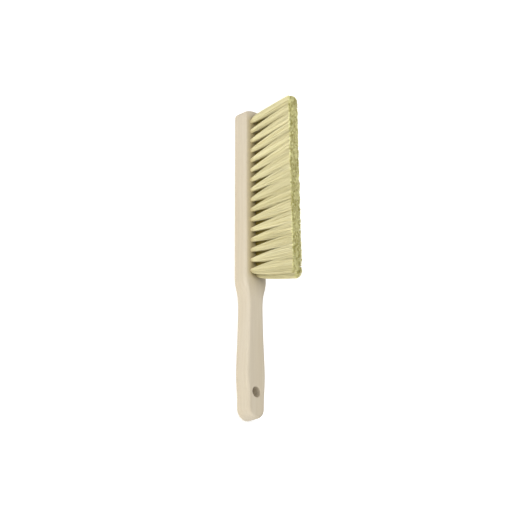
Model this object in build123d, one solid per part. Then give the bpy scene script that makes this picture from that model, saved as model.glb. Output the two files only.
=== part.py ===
from build123d import *
import os

# Bee brush: a beech block with a grip, and two staggered rows of bristle tufts set in drilled holes.
# Millimetres. +X runs along the block from the heel of the grip to the tip of the head, +Z is the way
# the bristles point, and +Y is the left side. The origin is the middle of the block's flat back.

# The block
BLOCK_LENGTH = 370.0
BLOCK_THICKNESS = 20.0
EDGE_ROUND = 3.5
HEAD_WIDTH_AT_SHOULDER = 33.2
HEAD_WIDTH_AT_TIP = 33.0
TIP_CORNER_RADIUS = 6.5
TIP_BULGE = 4.9
SHOULDER_FROM_HEEL = 162.5

# The grip, as half widths at distances from the heel
GRIP_NECK = (145.0, 12.95)
GRIP_WAIST = (121.0, 11.5)
GRIP_SWELL_START = (80.0, 13.15)
GRIP_SWELL = (46.0, 14.4)
HEEL_RADIUS = 12.8

# The hanging hole
HANG_HOLE_FROM_HEEL = 30.0
HANG_HOLE_DIAMETER = 12.0
HANG_HOLE_BEVEL = 0.6

# The two rows of tufts, the right row a little nearer the grip than the left
TUFT_PITCH = 12.25
TUFTS_IN_ROW = 16
LEFT_ROW_Y = 6.9
RIGHT_ROW_Y = -1.3
LEFT_ROW_START = -14.3
RIGHT_ROW_START = -17.0
# How the tufts fan out: (X of the root, lean towards the tip in degrees), straight lines between
FAN = ((-18.0, -9.5), (-2.0, -4.6), (25.0, -4.0), (97.0, 6.6), (123.0, 8.5), (147.0, 8.2), (170.0, 6.0))

# One tuft
HOLE_DIAMETER = 5.0
HOLE_DEPTH = 14.0
TUFT_ROOT_DIAMETER = 4.9
TUFT_ROOT_DEPTH = 13.6
TUFT_FOLD_ROUND = 1.6
TUFT_FLARE_AT = 12.0
TUFT_FLARE_LENGTH = 7.8
TUFT_FLARE_WIDTH = 5.6
TUFT_SPREAD_AT = 40.0
TUFT_TIP_LENGTH = 10.4
TUFT_TIP_WIDTH = 6.8
TRIM_HEIGHT_AT_TIP = 84.5
TRIM_HEIGHT_AT_HANDLE = 88.5

# The flat wire staple across each folded tuft
STAPLE_LENGTH = 6.0
STAPLE_HEIGHT = 1.8
STAPLE_THICKNESS = 0.4
STAPLE_DEPTH = 11.0
STAPLE_GAP = 0.02

HALF_LENGTH = BLOCK_LENGTH / 2
SHOULDER_X = SHOULDER_FROM_HEEL - HALF_LENGTH
TUFT_REACH = 110.0


def from_heel(point):
    """Turn a (distance from heel, half width) pair into X and Y."""
    return (point[0] - HALF_LENGTH, point[1])


def mirrored(points):
    """The same outline points on the other side of the centre line, in the opposite order."""
    return [(x, -y) for x, y in reversed(points)]


def head_outline():
    """The edges round the head from its left shoulder to its right: a bowed end with rounded corners."""
    root = HEAD_WIDTH_AT_SHOULDER / 2
    tip = HEAD_WIDTH_AT_TIP / 2
    end_x = HALF_LENGTH - TIP_BULGE
    corners = [(SHOULDER_X, -root), (end_x, -tip), (end_x, tip), (SHOULDER_X, root)]
    sides = [Line(corners[0], corners[1]), Line(corners[2], corners[3])]
    end = ThreePointArc(corners[1], (HALF_LENGTH, 0), corners[2])
    plan = make_face(sides + [end, Line(corners[3], corners[0])])
    plan = fillet(plan.vertices().group_by(Axis.X)[-1], TIP_CORNER_RADIUS)
    return [edge for edge in plan.edges() if edge.center().X > SHOULDER_X + 0.1]


def grip_outline():
    """The edges round the grip from one shoulder to the other: a waist, a swell and a round heel."""
    shoulder = (SHOULDER_X, HEAD_WIDTH_AT_SHOULDER / 2)
    heel_x = HEEL_RADIUS - HALF_LENGTH
    via = [from_heel(p) for p in (GRIP_NECK, GRIP_WAIST, GRIP_SWELL_START, GRIP_SWELL)]
    left = [shoulder] + via + [(heel_x, HEEL_RADIUS)]
    return [
        Spline(*left, tangents=[(-1, 0), (-1, 0)]),
        CenterArc((heel_x, 0), HEEL_RADIUS, 90, 180),
        Spline(*mirrored(left), tangents=[(1, 0), (1, 0)]),
    ]


def block_solid():
    """The board that the whole block is sawn from, with every edge rounded over."""
    board = extrude(make_face(head_outline() + grip_outline()), BLOCK_THICKNESS)
    rims = board.faces().sort_by(Axis.Z)[0].edges() + board.faces().sort_by(Axis.Z)[-1].edges()
    return fillet(rims, EDGE_ROUND)


def hang_hole():
    """The through hole for a nail or cord, with both mouths bevelled."""
    radius = HANG_HOLE_DIAMETER / 2
    bore = Cylinder(radius, BLOCK_THICKNESS, align=(Align.CENTER, Align.CENTER, Align.MIN))
    bevel = Cone(radius, radius + HANG_HOLE_BEVEL, HANG_HOLE_BEVEL, align=(Align.CENTER, Align.CENTER, Align.MIN))
    top = Pos(0, 0, BLOCK_THICKNESS - HANG_HOLE_BEVEL) * bevel
    bottom = Pos(0, 0, HANG_HOLE_BEVEL) * Rot(180, 0, 0) * bevel
    return Pos(HANG_HOLE_FROM_HEEL - HALF_LENGTH, 0, 0) * (bore + top + bottom)


def fan_angle(x):
    """How far the tuft rooted at x leans towards the tip of the head, in degrees."""
    for (x0, lean0), (x1, lean1) in zip(FAN, FAN[1:]):
        if x <= x1:
            break
    return lean0 + (lean1 - lean0) * (x - x0) / (x1 - x0)


def tuft_seat(x, y):
    """The frame of one tuft: its origin at the hole's mouth and its Z along the hole."""
    return Pos(x, y, BLOCK_THICKNESS) * Rot(0, fan_angle(x), 0)


def tuft_hole():
    """The cutter for one blind hole, which runs out past the mouth."""
    return Cylinder(HOLE_DIAMETER / 2, 2 * HOLE_DEPTH)


def staple(gap=0.0):
    """A short length of flat wire on edge across the hole, its ends bitten into the wood."""
    size = (STAPLE_THICKNESS + 2 * gap, STAPLE_LENGTH, STAPLE_HEIGHT + 2 * gap)
    return Pos(0, 0, -STAPLE_DEPTH) * Box(*size)


def trim_space():
    """The space under the slightly sloping plane that the bristles are trimmed to."""
    row = (TUFTS_IN_ROW - 1) * TUFT_PITCH
    slope = (TRIM_HEIGHT_AT_TIP - TRIM_HEIGHT_AT_HANDLE) / row
    near = TRIM_HEIGHT_AT_HANDLE + slope * (-HALF_LENGTH - RIGHT_ROW_START)
    far = TRIM_HEIGHT_AT_HANDLE + slope * (2 * HALF_LENGTH - RIGHT_ROW_START)
    side = [(-HALF_LENGTH, 0), (2 * HALF_LENGTH, 0), (2 * HALF_LENGTH, far), (-HALF_LENGTH, near)]
    outline = Plane.XZ * make_face(Polyline(*side, close=True))
    return extrude(outline, HEAD_WIDTH_AT_SHOULDER, both=True)


def tuft_solid():
    """One tuft before it is trimmed: a round root folded under the staple, then a spreading brush."""
    root = Cylinder(TUFT_ROOT_DIAMETER / 2, TUFT_ROOT_DEPTH, align=(Align.CENTER, Align.CENTER, Align.MAX))
    root = fillet(root.edges().sort_by(Axis.Z)[0], TUFT_FOLD_ROUND)
    mouth = Circle(TUFT_ROOT_DIAMETER / 2)
    flare = Pos(0, 0, TUFT_FLARE_AT) * Ellipse(TUFT_FLARE_LENGTH / 2, TUFT_FLARE_WIDTH / 2)
    spread = Pos(0, 0, TUFT_SPREAD_AT) * Ellipse(TUFT_TIP_LENGTH / 2, TUFT_TIP_WIDTH / 2)
    brush = loft([mouth, flare, spread], ruled=True)
    end = extrude(spread, TUFT_REACH - TUFT_SPREAD_AT)
    return root + brush + end - staple(STAPLE_GAP)


def seats():
    """Every tuft's node name and frame, each row numbered from the handle end."""
    found = {}
    for side, start, y in (("left", LEFT_ROW_START, LEFT_ROW_Y), ("right", RIGHT_ROW_START, RIGHT_ROW_Y)):
        for i in range(TUFTS_IN_ROW):
            found[f"tuft_{side}_{i + 1:02d}"] = tuft_seat(start + i * TUFT_PITCH, y)
    return found


def handle_block(places):
    """The one-piece wooden back and grip, drilled for every tuft and for hanging."""
    block = block_solid()
    cutters = [hang_hole()]
    for place in places.values():
        cutters.append(place * tuft_hole())
        cutters.append(place * staple())
    return block.cut(*cutters)


def main():
    os.makedirs("parts", exist_ok=True)
    places = seats()
    nodes = {"handle_block": handle_block(places)}
    space = trim_space()
    brush = tuft_solid()
    for name, place in places.items():
        nodes[name] = (place * brush) & space
    nodes["tuft_staples"] = Compound(children=[place * staple() for place in places.values()])
    for name, shape in nodes.items():
        export_step(shape, f"parts/{name}.step")


main()
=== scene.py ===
import math

import bpy
import numpy as np
from mathutils import Matrix, Vector


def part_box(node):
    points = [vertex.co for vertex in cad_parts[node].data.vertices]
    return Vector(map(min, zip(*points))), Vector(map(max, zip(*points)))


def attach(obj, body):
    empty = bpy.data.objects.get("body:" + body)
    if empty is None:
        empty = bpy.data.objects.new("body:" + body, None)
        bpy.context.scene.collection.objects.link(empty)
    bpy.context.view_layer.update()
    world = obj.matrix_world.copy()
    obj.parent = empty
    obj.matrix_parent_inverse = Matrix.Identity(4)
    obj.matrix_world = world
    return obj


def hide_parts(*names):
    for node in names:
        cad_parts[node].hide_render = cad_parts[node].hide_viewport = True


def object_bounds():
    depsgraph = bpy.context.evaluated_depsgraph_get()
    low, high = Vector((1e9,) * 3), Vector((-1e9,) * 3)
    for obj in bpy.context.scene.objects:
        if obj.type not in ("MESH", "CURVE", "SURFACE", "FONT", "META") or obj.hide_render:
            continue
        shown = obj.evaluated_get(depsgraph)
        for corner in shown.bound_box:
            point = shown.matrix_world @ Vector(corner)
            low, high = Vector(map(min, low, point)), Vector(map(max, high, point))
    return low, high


# The looks of the bee brush. Its wood and staples are the frame's own, and each tuft becomes many fine
# bristles. Metres. +X runs from the heel of the grip to the tip of the head, +Z is the way the bristles
# point, and +Y is the left side, which the camera sees.

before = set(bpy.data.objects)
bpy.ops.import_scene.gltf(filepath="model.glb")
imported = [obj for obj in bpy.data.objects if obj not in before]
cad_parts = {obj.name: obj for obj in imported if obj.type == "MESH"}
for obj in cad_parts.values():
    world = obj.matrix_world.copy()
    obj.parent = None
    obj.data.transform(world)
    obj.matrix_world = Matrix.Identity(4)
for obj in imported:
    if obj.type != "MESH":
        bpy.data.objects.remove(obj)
CAD_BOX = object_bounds()
MM = 0.001

# The camera. It turns about a point half a block's thickness above the brush's origin.
CAMERA_DISTANCE = 2.0
CAMERA_LENS = 124.1
CAMERA_SENSOR_WIDTH = 36.0
CAMERA_CLIP = (0.05, 20.0)
CAMERA_AIM_HEIGHT = 10 * MM
CAMERA_ROUND_THE_LENGTH = math.radians(46.5)  # 0 looks at the left side, 90 looks into the bristle ends
CAMERA_TOWARDS_THE_HEEL = math.radians(20.25)
CAMERA_ROLL = math.radians(-0.15)
CAMERA_SHIFT_RIGHT = -5.3 * MM
CAMERA_SHIFT_UP = -8.06 * MM

# The lamps: (name, direction from the brush, width in metres, watts)
LIGHT_DISTANCE = 1.8
LIGHTS = (
    ("key", (0.1, 0.85, 0.3), 1.0, 8.2),
    ("top", (0.0, 0.3, 1.0), 1.0, 19),
    ("fill", (-0.9, 0.35, 0.35), 1.2, 9.0),
)
SURROUNDING_LIGHT = 0.42

# The table
FLOOR_HALF_SIZE = 3.0
FLOOR_GAP = 0.2 * MM
FLOOR_GLOW = 0.32
FLOOR_TONES = ((0.93, 0.93, 0.93), (0.95, 0.95, 0.95))
FLOOR_CELLS = (3, 3, 3)
FLOOR_SHEEN = 0.1
FLOOR_ROUGHNESS = (0.7, 0.8)

# A marking is (value that it begins at, value that it is full at, strength when full, colour), and cells are
# a noise's cells per metre along each axis.

# Beech
WOOD = (0.560, 0.500, 0.395)
CLOUDS = (0.3, 0.7, 1.0, (0.535, 0.468, 0.352))
GRAIN = (0.35, 0.75, 0.4, (0.475, 0.405, 0.292))
RINGS = (0.2, 0.9, 0.14, (0.440, 0.368, 0.265))
FLECKS = (0.70, 0.78, 0.5, (0.340, 0.235, 0.145))
CLOUD_CELLS = (9, 60, 60)
GRAIN_CELLS = (14, 520, 520)
FIBRE_CELLS = (90, 3200, 3200)
FLECK_CELLS = (330, 2100, 2100)
RINGS_PER_METRE = 95.0
WOOD_SHEEN = 0.2
WOOD_ROUGHNESS = (0.52, 0.68)
WOOD_BUMP = 0.22
GRAIN_IN_BUMP, FIBRE_IN_BUMP = 0.6, 0.4
# Painted shade round the roots, yellowed by bounced light: colour, how strong it is, how far it fades out
PAINTED_SHADE_COLOUR = (0.48, 0.41, 0.06)
PAINTED_SHADE_STRENGTH = 0.85
PAINTED_SHADE_FADE = 10.0 * MM
PAINTED_SHADE_DEPTH = 1.0 * MM
# A fainter painted shade that runs on from the first tufts into the neck of the grip
PAINTED_NECK_SHADE = 0.35
PAINTED_NECK_FADE = 28.0 * MM

# Bristle. The root's and the cut end's markings go by the share of its length.
BRISTLE_PALE = (0.800, 0.750, 0.480)
BRISTLE_DEEP = (0.670, 0.605, 0.340)
STREAKS = (0.3, 0.7, 0.2, (0.610, 0.540, 0.280))
ROOT = (0.10, 0.0, 0.3, (0.560, 0.430, 0.230))
SHADE = (0.0, 1.0, 0.92, (0.270, 0.190, 0.004))
CUT_START, CUT_FULL, CUT_STRENGTH = 0.975, 0.995, 0.8
CUT_OLIVE = (0.460, 0.415, 0.090)
CUT_PALE = (1.000, 0.990, 0.580)
STREAK_CELLS = (420, 420, 60)
BRISTLE_SHEEN = 0.2
BRISTLE_ROUGHNESS = (0.45, 0.6)
# The middle and the unevenness of the bristles' own tones, from 0 pale to 1 deep
TONE, TONE_UNEVENNESS = 0.4, 0.2

# Galvanised wire
WIRE_LIGHT = (0.62, 0.62, 0.63)
WIRE_DARK = (0.48, 0.49, 0.50)
WIRE_CELLS = (900, 900, 900)
WIRE_ROUGHNESS = (0.28, 0.45)

# The bristles of one tuft
BRISTLES = 640
BRISTLE_RADIUS = 0.19 * MM
BRISTLE_RADIUS_SHARES = (0.85, 1.15)
BRISTLE_SIDES = 3
ROOT_RADIUS = 2.4 * MM
FOLD_RADIUS = 1.3 * MM
FOLD_DEPTH = 12.4 * MM
STATIONS = (0.0, 0.04, 0.09, 0.16, 0.25, 0.38, 0.55, 0.76, 1.0)
GOLDEN_ANGLE = math.pi * (3 - math.sqrt(5))
SCATTER = 0.35
SWAY = 0.22 * MM

# The cut ends gather in small clumps, each pulled together and a little longer or shorter than the next
CLUMPS = 24
CLUMP_PULL = 0.35
CLUMP_UNEVENNESS = 0.24 * MM
# The higher, the nearer to the tuft's edge that pull dies away
EDGE_HOLD = 4
# How far the cut ends stray along and across the row, and how many of them stray that many times as far
STRAY_ALONG, STRAY_ACROSS = 0.3 * MM, 0.2 * MM
STRAY_SHARE, STRAY_TIMES = 0.03, 3.0
TRIM_HEIGHT_ABOVE_CAD = 0.2 * MM
TRIM_UNEVENNESS = 0.3 * MM

# How far the cut ends reach: outwards from the tufts' middles, past the line between the rows (the first
# tuft of each row further than the rest), and past the middles of the row's first and last tufts
SIDE_SPREAD = {"left": 2.6 * MM, "right": 3.3 * MM}
ROW_OVERLAP = 0.5 * MM
FIRST_TUFT_OVERLAP = 2.5 * MM
HANDLE_END_SPREAD = {"left": 9.0 * MM, "right": 10.6 * MM}
TIP_END_SPREAD = {"left": 6.2 * MM, "right": 10.2 * MM}
# How far a row's outer corners are drawn in
CORNER_ROUND = 2.5 * MM
# How much shorter the end tufts are cut at the ends of the row, and the share of the way there, from the
# middle of the tuft, at which that begins
HANDLE_END_DROP = 4.5 * MM
TIP_END_DROP = 3.8 * MM
DROP_START = 0.35
# 0 leaves a tuft's cut end round, 1 fills out its corners
SQUARENESS = 0.92
# A bristle is 1 - (1 - s ** early) ** fast of the way out at the share s of its height: (early, fast)
SPREAD_INSIDE = (1.16, 2.1)
SPREAD_AT_HANDLE_END = (0.5, 1.0)
SPREAD_AT_TIP_END = (1.0, 11.0)
# The power that takes a bristle from the inside spread to the end spread across an end tuft
END_BLEND = 0.6
# How much the tufts, and the bristles in one, differ in how fast they spread
TUFT_LOOSENESS = (0.6, 1.15)
BRISTLE_LOOSENESS = (0.85, 1.15)

# The share of a tuft's height that gets painted shade between the rows, and the power that it deepens by
SHADED_HEIGHT = 0.75
SHADE_POWER = 0.5
# How strong that shade is in the first tuft of each row, which is lit from the handle end
HANDLE_END_SHADE = 0.15

# How near a CAD vertex lies to the block's face or the tuft's top to count as its root's or its cut end's
RING_REACH = 0.6 * MM


# ---------------------------------------------------------------- materials


class Nodes:
    """A new material's node tree, with short ways to add and join nodes."""

    def __init__(self, name):
        self.material = bpy.data.materials.new(name)
        self.material.use_nodes = True
        self.tree = self.material.node_tree
        self.shader = self.tree.nodes["Principled BSDF"]

    def add(self, kind, inputs=None, **settings):
        """A node of that kind. inputs are values or other nodes' outputs, by socket name or number."""
        node = self.tree.nodes.new(kind)
        for key, value in settings.items():
            setattr(node, key, value)
        for key, value in (inputs or {}).items():
            self.join(value, node.inputs[key])
        return node

    def join(self, value, socket):
        if isinstance(value, bpy.types.NodeSocket):
            self.tree.links.new(value, socket)
        else:
            socket.default_value = value

    def place(self):
        """Object coordinates, in metres."""
        return self.add("ShaderNodeTexCoord").outputs["Object"]

    def stretched(self, scale):
        """Object coordinates multiplied by scale along each axis."""
        return self.add("ShaderNodeMapping", {"Vector": self.place(), "Scale": scale}).outputs["Vector"]

    def noise(self, cells, detail=3.0, roughness=0.5):
        """Noise between 0 and 1 with that many cells per metre along each axis."""
        wanted = {"Vector": self.stretched(cells), "Scale": 1.0, "Detail": detail, "Roughness": roughness}
        return self.add("ShaderNodeTexNoise", wanted).outputs["Fac"]

    def rings(self, per_metre):
        """Slightly wavy rings round the X axis."""
        wanted = {"Vector": self.stretched((1.0, 1.0, 1.0)), "Scale": per_metre, "Distortion": 3.0}
        wanted.update({"Detail": 2.0, "Detail Scale": 0.2})
        return self.add("ShaderNodeTexWave", wanted, wave_type="RINGS", rings_direction="X").outputs["Fac"]

    def between(self, value, low, high, to_low=0.0, to_high=1.0):
        """Takes value from the span low to high to the span to_low to to_high, and keeps it inside that."""
        wanted = {"Value": value, "From Min": low, "From Max": high, "To Min": to_low, "To Max": to_high}
        return self.add("ShaderNodeMapRange", wanted).outputs["Result"]

    def blend(self, share, first, second, mode="MIX"):
        """A colour between first and second."""
        node = self.add("ShaderNodeMix", data_type="RGBA", blend_type=mode)
        self.join(share, node.inputs[0])
        for socket, colour in ((node.inputs[6], first), (node.inputs[7], second)):
            self.join(colour if isinstance(colour, bpy.types.NodeSocket) else (*colour, 1.0), socket)
        return node.outputs[2]

    def mark(self, colour, value, marking):
        """The colour with a marking on it that follows value."""
        start, full, strength, tint = marking
        return self.blend(self.between(value, start, full, 0.0, strength), colour, tint)

    def math(self, operation, first, second):
        return self.add("ShaderNodeMath", {0: first, 1: second}, operation=operation).outputs[0]

    def attribute(self, name):
        return self.add("ShaderNodeAttribute", attribute_name=name).outputs["Fac"]

    def finish(self, colour, roughness, height=None, bump=0.1):
        """Joins the colour, roughness and any bump to the shader, and gives the material."""
        self.join(colour, self.shader.inputs["Base Color"])
        self.join(roughness, self.shader.inputs["Roughness"])
        if height is not None:
            wanted = {"Height": height, "Strength": bump, "Distance": 0.1 * MM}
            self.join(self.add("ShaderNodeBump", wanted).outputs["Normal"], self.shader.inputs["Normal"])
        return self.material


def painted_shade_share(n, low, high):
    """How much painted shade the wood gets: most on the face round the box between low and high."""
    axes = n.add("ShaderNodeSeparateXYZ", {0: n.place()}).outputs
    # The painted shade under the bristles runs on into the neck of the grip
    neck = n.between(axes["X"], low.x - PAINTED_NECK_FADE, low.x, 0.0, PAINTED_NECK_SHADE)
    start = n.math("MAXIMUM", neck, n.between(axes["X"], low.x - PAINTED_SHADE_FADE, low.x))
    end = n.between(axes["X"], high.x + PAINTED_SHADE_FADE, high.x)
    right = n.between(axes["Y"], low.y - PAINTED_SHADE_FADE, low.y)
    left = n.between(axes["Y"], high.y + PAINTED_SHADE_FADE, high.y)
    painted_dark = n.between(axes["Z"], high.z - PAINTED_SHADE_DEPTH, high.z)
    for share in (start, end, right, left, PAINTED_SHADE_STRENGTH):
        painted_dark = n.math("MULTIPLY", painted_dark, share)
    return painted_dark


def wood_material(low, high):
    """Bare sanded beech: pale and even, with fine straight grain along the block and short darker flecks.

    It has painted shade round the tufts, whose roots lie between low and high.
    """
    n = Nodes("beech")
    cloud = n.noise(CLOUD_CELLS, detail=2.0)
    grain = n.noise(GRAIN_CELLS, detail=4.0, roughness=0.6)
    fibre = n.noise(FIBRE_CELLS, detail=2.0)
    flecks = n.noise(FLECK_CELLS, detail=1.0)
    rings = n.rings(RINGS_PER_METRE)
    colour = WOOD
    for value, marking in ((cloud, CLOUDS), (grain, GRAIN), (rings, RINGS), (flecks, FLECKS)):
        colour = n.mark(colour, value, marking)
    # Painted shade, yellowed by light bounced off the bristles, round the roots and into the neck
    colour = n.blend(painted_shade_share(n, low, high), colour, PAINTED_SHADE_COLOUR, "MULTIPLY")
    coarse, fine = n.math("MULTIPLY", grain, GRAIN_IN_BUMP), n.math("MULTIPLY", fibre, FIBRE_IN_BUMP)
    n.shader.inputs["Specular IOR Level"].default_value = WOOD_SHEEN
    roughness = n.between(fibre, 0.2, 0.8, *WOOD_ROUGHNESS)
    return n.finish(colour, roughness, n.math("ADD", coarse, fine), WOOD_BUMP)


def bristle_material():
    """Pale yellow bristle: each a little different, painted shade between the rows, stippled at the cut end.
    """
    n = Nodes("bristle")
    tone, along = n.attribute("tone"), n.attribute("along")
    shade, clump = n.attribute("shade"), n.attribute("clump")
    streak = n.noise(STREAK_CELLS, detail=2.0)
    cut = (CUT_START, CUT_FULL, CUT_STRENGTH, n.blend(clump, CUT_OLIVE, CUT_PALE))
    colour = n.blend(tone, BRISTLE_PALE, BRISTLE_DEEP)
    for value, marking in ((streak, STREAKS), (along, ROOT), (shade, SHADE), (along, cut)):
        colour = n.mark(colour, value, marking)
    n.shader.inputs["Specular IOR Level"].default_value = BRISTLE_SHEEN
    return n.finish(colour, n.between(tone, 0.0, 1.0, *BRISTLE_ROUGHNESS))


def staple_material():
    """Galvanised flat wire."""
    n = Nodes("staple_wire")
    spangle = n.noise(WIRE_CELLS)
    colour = n.blend(spangle, WIRE_LIGHT, WIRE_DARK)
    n.shader.inputs["Metallic"].default_value = 1.0
    return n.finish(colour, n.between(spangle, 0.2, 0.8, *WIRE_ROUGHNESS))


def floor_material():
    """A backlit white table."""
    n = Nodes("floor")
    mottle = n.noise(FLOOR_CELLS)
    n.shader.inputs["Specular IOR Level"].default_value = FLOOR_SHEEN
    n.shader.inputs["Emission Color"].default_value = (1.0, 1.0, 1.0, 1.0)
    n.shader.inputs["Emission Strength"].default_value = FLOOR_GLOW
    return n.finish(n.blend(mottle, *FLOOR_TONES), n.between(mottle, 0, 1, *FLOOR_ROUGHNESS))


def cover(obj, material):
    """Gives every face of obj that one material."""
    obj.data.materials.clear()
    obj.data.materials.append(material)


# ---------------------------------------------------------------- bristles


def ring_middle(node, low, high):
    """The middle of those of a CAD node's vertices that lie between two heights."""
    points = [v.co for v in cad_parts[node].data.vertices if low <= v.co.z <= high]
    lowest = Vector([min(p[i] for p in points) for i in range(3)])
    highest = Vector([max(p[i] for p in points) for i in range(3)])
    return (lowest + highest) / 2


def tuft_rows():
    """For each row, its tufts from the handle end to the tip: (node, root's middle, cut end's middle)."""
    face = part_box("handle_block")[1].z
    rows = {}
    for side in ("left", "right"):
        names = sorted(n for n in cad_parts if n.startswith(f"tuft_{side}_"))
        rows[side] = []
        for name in names:
            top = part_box(name)[1].z
            root = ring_middle(name, face - RING_REACH, face + RING_REACH)
            rows[side].append((name, root, ring_middle(name, top - RING_REACH, top)))
    return rows


def root_box(rows):
    """The lowest and highest corners of the box round all the roots' middles."""
    roots = [root for tufts in rows.values() for _, root, _ in tufts]
    return [Vector([limit(root[i] for root in roots) for i in range(3)]) for limit in (min, max)]


def disc(count, rng):
    """Evenly scattered points in the unit circle."""
    order = np.arange(count) + 0.5
    radius = np.sqrt(order / count)
    angle = order * GOLDEN_ANGLE + rng.uniform(0, 2 * math.pi)
    wobble = rng.normal(0, SCATTER / math.sqrt(count), (2, count))
    return radius * np.cos(angle) + wobble[0], radius * np.sin(angle) + wobble[1]


def squared(a, b):
    """Points of the unit circle moved most of the way out to fill the square round it."""
    reach = np.maximum(np.abs(a), np.abs(b))
    length = np.sqrt(a * a + b * b)
    grow = 1 + SQUARENESS * (np.divide(length, reach, out=np.ones_like(a), where=reach > 0) - 1)
    return a * grow, b * grow


def ease(share, power):
    """How much of its spread a bristle has made at each share of its height."""
    early, fast = power
    return 1 - (1 - share**early) ** fast


def clumped(points, middles):
    """For each bristle of the tuft, its clump's number and its place once it is pulled towards the clump."""
    (sa, sb), (ca, cb) = points, middles
    clump = np.argmin((sa[:, None] - ca) ** 2 + (sb[:, None] - cb) ** 2, axis=1)
    pull = CLUMP_PULL * (1 - np.clip(np.maximum(np.abs(sa), np.abs(sb)), 0, 1) ** EDGE_HOLD)
    return clump, sa + pull * (ca[clump] - sa), sb + pull * (cb[clump] - sb)


def cut_ends(tuft, free, outer, clump, ga, gb, rng):
    """Where the bristles of a tuft are cut, as X, Y and Z.

    free and outer are how near each one is to the end of the row and to the outside of the brush.
    """
    tip = tuft["tip"]
    stray = np.where(rng.random(BRISTLES) < STRAY_SHARE, STRAY_TIMES, 1.0)
    low, high = tuft["reach_x"]
    end_x = low + (high - low) * (ga + 1) / 2 + rng.normal(0, STRAY_ALONG, BRISTLES) * stray
    end_x -= tuft["free_side"] * CORNER_ROUND * free * outer**2
    low, high = tuft["reach_y"]
    end_y = low + (high - low) * (gb + 1) / 2 + rng.normal(0, STRAY_ACROSS, BRISTLES) * stray
    cut = tip.z + TRIM_HEIGHT_ABOVE_CAD + rng.normal(0, CLUMP_UNEVENNESS, CLUMPS)[clump]
    cut -= np.abs(rng.normal(0, TRIM_UNEVENNESS, BRISTLES))
    drop = tuft["drop"] * np.clip((free - DROP_START) / (1 - DROP_START), 0, 1) ** 2
    return end_x, end_y, cut + tuft["slope"] * (end_x - tip.x) - drop


def bristle_lines(tuft, rng):
    """The middle lines of a tuft's bristles as an array (bristle, point, xyz), with their shade and clump.

    Each starts at the fold under the staple, leaves the hole at the first station and is cut at the last.
    """
    root, tip = tuft["root"], tuft["tip"]
    a, b = disc(BRISTLES, rng)
    sa, sb = squared(a, b)
    clump, ga, gb = clumped((sa, sb), squared(*disc(CLUMPS, rng)))
    free = np.clip(sa * tuft["free_side"], 0, 1)
    outer = np.clip(-sb * tuft["inner_side"], 0, 1)
    end_x, end_y, end_z = cut_ends(tuft, free, outer, clump, ga, gb, rng)

    share = np.array(STATIONS)
    loose = rng.uniform(*TUFT_LOOSENESS) * rng.uniform(*BRISTLE_LOOSENESS, (BRISTLES, 1))
    inside = ease(share, (SPREAD_INSIDE[0], SPREAD_INSIDE[1] * loose))
    spread = inside + (ease(share, tuft["end_power"]) - inside) * free[:, None] ** END_BLEND
    bow = np.sin(math.pi * share)
    lines = np.zeros((BRISTLES, len(STATIONS) + 1, 3))
    for i, (start, end) in enumerate(((a, end_x), (b, end_y))):
        middle = root[i] + (tip[i] - root[i]) * share
        out = (end - tip[i])[:, None] * spread + (start * ROOT_RADIUS)[:, None] * (1 - spread)
        lines[:, 1:, i] = middle + out + rng.normal(0, SWAY, (BRISTLES, 1)) * bow
        lines[:, 0, i] = root[i] + start * FOLD_RADIUS
    lines[:, 1:, 2] = root.z + (end_z - root.z)[:, None] * share
    lines[:, 0, 0] -= (tip.x - root.x) / (tip.z - root.z) * FOLD_DEPTH
    lines[:, 0, 2] = root.z - FOLD_DEPTH

    # Painted shade: darker on the side of the tuft that faces the other row, towards the root
    inner = np.clip(0.5 + sb * tuft["inner_side"], 0, 1) * (1 - free)
    height = np.clip(1 - np.array((0.0,) + STATIONS) / SHADED_HEIGHT, 0, 1)
    shade = tuft["shade"] * inner[:, None] * height**SHADE_POWER
    return lines, shade, rng.uniform(0, 1, CLUMPS)[clump]


def bristle_points(lines, rng):
    """The vertices round each point of each line, all in one list."""
    count = len(lines)
    along = np.diff(lines, axis=1)
    along = np.concatenate([along[:, :1], (along[:, 1:] + along[:, :-1]) / 2, along[:, -1:]], axis=1)
    along /= np.linalg.norm(along, axis=2, keepdims=True)
    first = np.cross(along, (0.0, 1.0, 0.0))
    first /= np.linalg.norm(first, axis=2, keepdims=True)
    second = np.cross(along, first)
    turn = rng.uniform(0, 2 * math.pi, (count, 1))
    radius = BRISTLE_RADIUS * rng.uniform(*BRISTLE_RADIUS_SHARES, (count, 1, 1))
    sides = []
    for k in range(BRISTLE_SIDES):
        angle = turn + k * 2 * math.pi / BRISTLE_SIDES
        sides.append(lines + radius * (np.cos(angle)[..., None] * first + np.sin(angle)[..., None] * second))
    return np.stack(sides, axis=2).reshape(-1, 3)


def bristle_faces(count, points):
    """The sides and both end caps of that many bristles of that many points each."""
    sides = BRISTLE_SIDES
    base = (np.arange(count) * points * sides)[:, None, None]
    ring = (np.arange(points - 1) * sides)[None, :, None]
    k = np.arange(sides)[None, None, :]
    after = (k + 1) % sides
    corners = [base + ring + k, base + ring + after, base + ring + sides + after, base + ring + sides + k]
    start = base[:, 0] + np.arange(sides)[::-1]
    end = base[:, 0] + (points - 1) * sides + np.arange(sides)
    quads = np.stack(corners, -1).reshape(-1, 4)
    return [tuple(face) for group in (quads, start, end) for face in group.tolist()]


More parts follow.
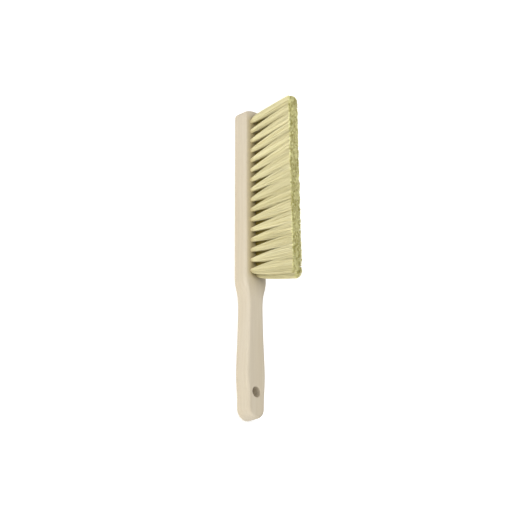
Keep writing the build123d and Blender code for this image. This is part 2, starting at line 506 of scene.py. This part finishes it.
def bristle_mesh(name, lines, shade, clump, rng):
    """A closed bristle round each line, in one mesh, with its colour's ingredients at each vertex."""
    count, points = lines.shape[:2]
    mesh = bpy.data.meshes.new(name)
    mesh.from_pydata(bristle_points(lines, rng).tolist(), [], bristle_faces(count, points))
    tone = np.clip(rng.normal(TONE, TONE_UNEVENNESS, count), 0, 1)
    ingredients = {
        "tone": np.repeat(tone, points * BRISTLE_SIDES),
        "along": np.tile(np.repeat(np.array((0.0,) + STATIONS), BRISTLE_SIDES), count),
        "shade": np.repeat(shade.reshape(-1), BRISTLE_SIDES),
        "clump": np.repeat(clump, points * BRISTLE_SIDES),
    }
    for key, values in ingredients.items():
        layer = mesh.attributes.new(key, "FLOAT", "POINT")
        layer.data.foreach_set("value", values.astype(np.float32))
    mesh.update()
    return mesh


def tuft_plan(side, tufts, middle_y):
    """What bristle_lines needs for each tuft of a row, so that the cut ends fill the row from end to end."""
    first, last = tufts[0][2], tufts[-1][2]
    slope = (last.z - first.z) / (last.x - first.x)
    joins = [(a[2].x + b[2].x) / 2 for a, b in zip(tufts, tufts[1:])]
    joins = [first.x - HANDLE_END_SPREAD[side]] + joins + [last.x + TIP_END_SPREAD[side]]
    inner_side = 1 if side == "right" else -1
    outside = first.y - inner_side * SIDE_SPREAD[side]
    plans = []
    for i, (node, root, tip) in enumerate(tufts):
        plan = {"node": node, "root": root, "tip": tip, "slope": slope, "inner_side": inner_side}
        plan.update(reach_x=(joins[i], joins[i + 1]), end_power=SPREAD_INSIDE)
        plan.update(free_side=0, drop=0.0, shade=1.0)
        overlap = ROW_OVERLAP
        if i == 0:
            overlap = FIRST_TUFT_OVERLAP
            plan.update(free_side=-1, end_power=SPREAD_AT_HANDLE_END)
            plan.update(drop=HANDLE_END_DROP, shade=HANDLE_END_SHADE)
        if i == len(tufts) - 1:
            plan.update(free_side=1, end_power=SPREAD_AT_TIP_END, drop=TIP_END_DROP)
        plan["reach_y"] = sorted((outside, middle_y + inner_side * overlap))
        plans.append(plan)
    return plans


def make_tufts(rows):
    """Every tuft's bristles, as one piece that replaces the CAD tuft."""
    material = bristle_material()
    middle_y = sum(tufts[0][1].y for tufts in rows.values()) / len(rows)
    for row, (side, tufts) in enumerate(sorted(rows.items())):
        for i, tuft in enumerate(tuft_plan(side, tufts, middle_y)):
            rng = np.random.default_rng(1000 * row + i)
            lines, shade, clump = bristle_lines(tuft, rng)
            name = tuft["node"].replace("tuft", "bristles")
            piece = bpy.data.objects.new(name, bristle_mesh(name, lines, shade, clump, rng))
            bpy.context.scene.collection.objects.link(piece)
            cover(piece, material)
            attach(piece, "root")
            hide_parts(tuft["node"])


# ---------------------------------------------------------------- stage, light and camera


def make_stage():
    """The table that the brush lies on."""
    size = FLOOR_HALF_SIZE
    mesh = bpy.data.meshes.new("floor")
    corners = [(-size, -size, 0), (size, -size, 0), (size, size, 0), (-size, size, 0)]
    mesh.from_pydata(corners, [], [(0, 1, 2, 3)])
    floor = bpy.data.objects.new("floor", mesh)
    bpy.context.scene.collection.objects.link(floor)
    floor.location.z = CAD_BOX[0].z - FLOOR_GAP
    cover(floor, floor_material())


def make_light():
    """A white surround and large round lamps turned to the brush's origin."""
    world = bpy.data.worlds.new("studio")
    world.use_nodes = True
    world.node_tree.nodes["Background"].inputs["Color"].default_value = (1.0, 1.0, 1.0, 1.0)
    world.node_tree.nodes["Background"].inputs["Strength"].default_value = SURROUNDING_LIGHT
    bpy.context.scene.world = world
    for name, direction, width, watts in LIGHTS:
        data = bpy.data.lights.new(name, "AREA")
        data.shape = "DISK"
        data.size = width
        data.energy = watts
        light = bpy.data.objects.new(name, data)
        bpy.context.scene.collection.objects.link(light)
        towards = Vector(direction).normalized()
        light.location = towards * LIGHT_DISTANCE
        light.rotation_euler = towards.to_track_quat("Z", "Y").to_euler()
    bpy.context.scene.view_settings.view_transform = "Standard"


def make_camera():
    """The camera, with the brush upright in its picture and the tip of the head at the top."""
    theta, phi = CAMERA_ROUND_THE_LENGTH, CAMERA_TOWARDS_THE_HEEL
    right = Vector((0, -math.sin(theta), math.cos(theta)))
    up = Vector((math.cos(phi), math.cos(theta) * math.sin(phi), math.sin(theta) * math.sin(phi)))
    back = right.cross(up)
    turn = Matrix.Rotation(CAMERA_ROLL, 3, back)
    right, up = turn @ right, turn @ up
    data = bpy.data.cameras.new("camera")
    data.lens = CAMERA_LENS
    data.sensor_width = CAMERA_SENSOR_WIDTH
    data.clip_start, data.clip_end = CAMERA_CLIP
    camera = bpy.data.objects.new("camera", data)
    bpy.context.scene.collection.objects.link(camera)
    place = Vector((0, 0, CAMERA_AIM_HEIGHT)) + back * CAMERA_DISTANCE
    place -= right * CAMERA_SHIFT_RIGHT + up * CAMERA_SHIFT_UP
    camera.matrix_world = Matrix.Translation(place) @ Matrix((right, up, back)).transposed().to_4x4()
    bpy.context.scene.camera = camera


tuft_places = tuft_rows()
cover(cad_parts["handle_block"], wood_material(*root_box(tuft_places)))
cover(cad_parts["tuft_staples"], staple_material())
make_tufts(tuft_places)
make_stage()
make_light()
make_camera()
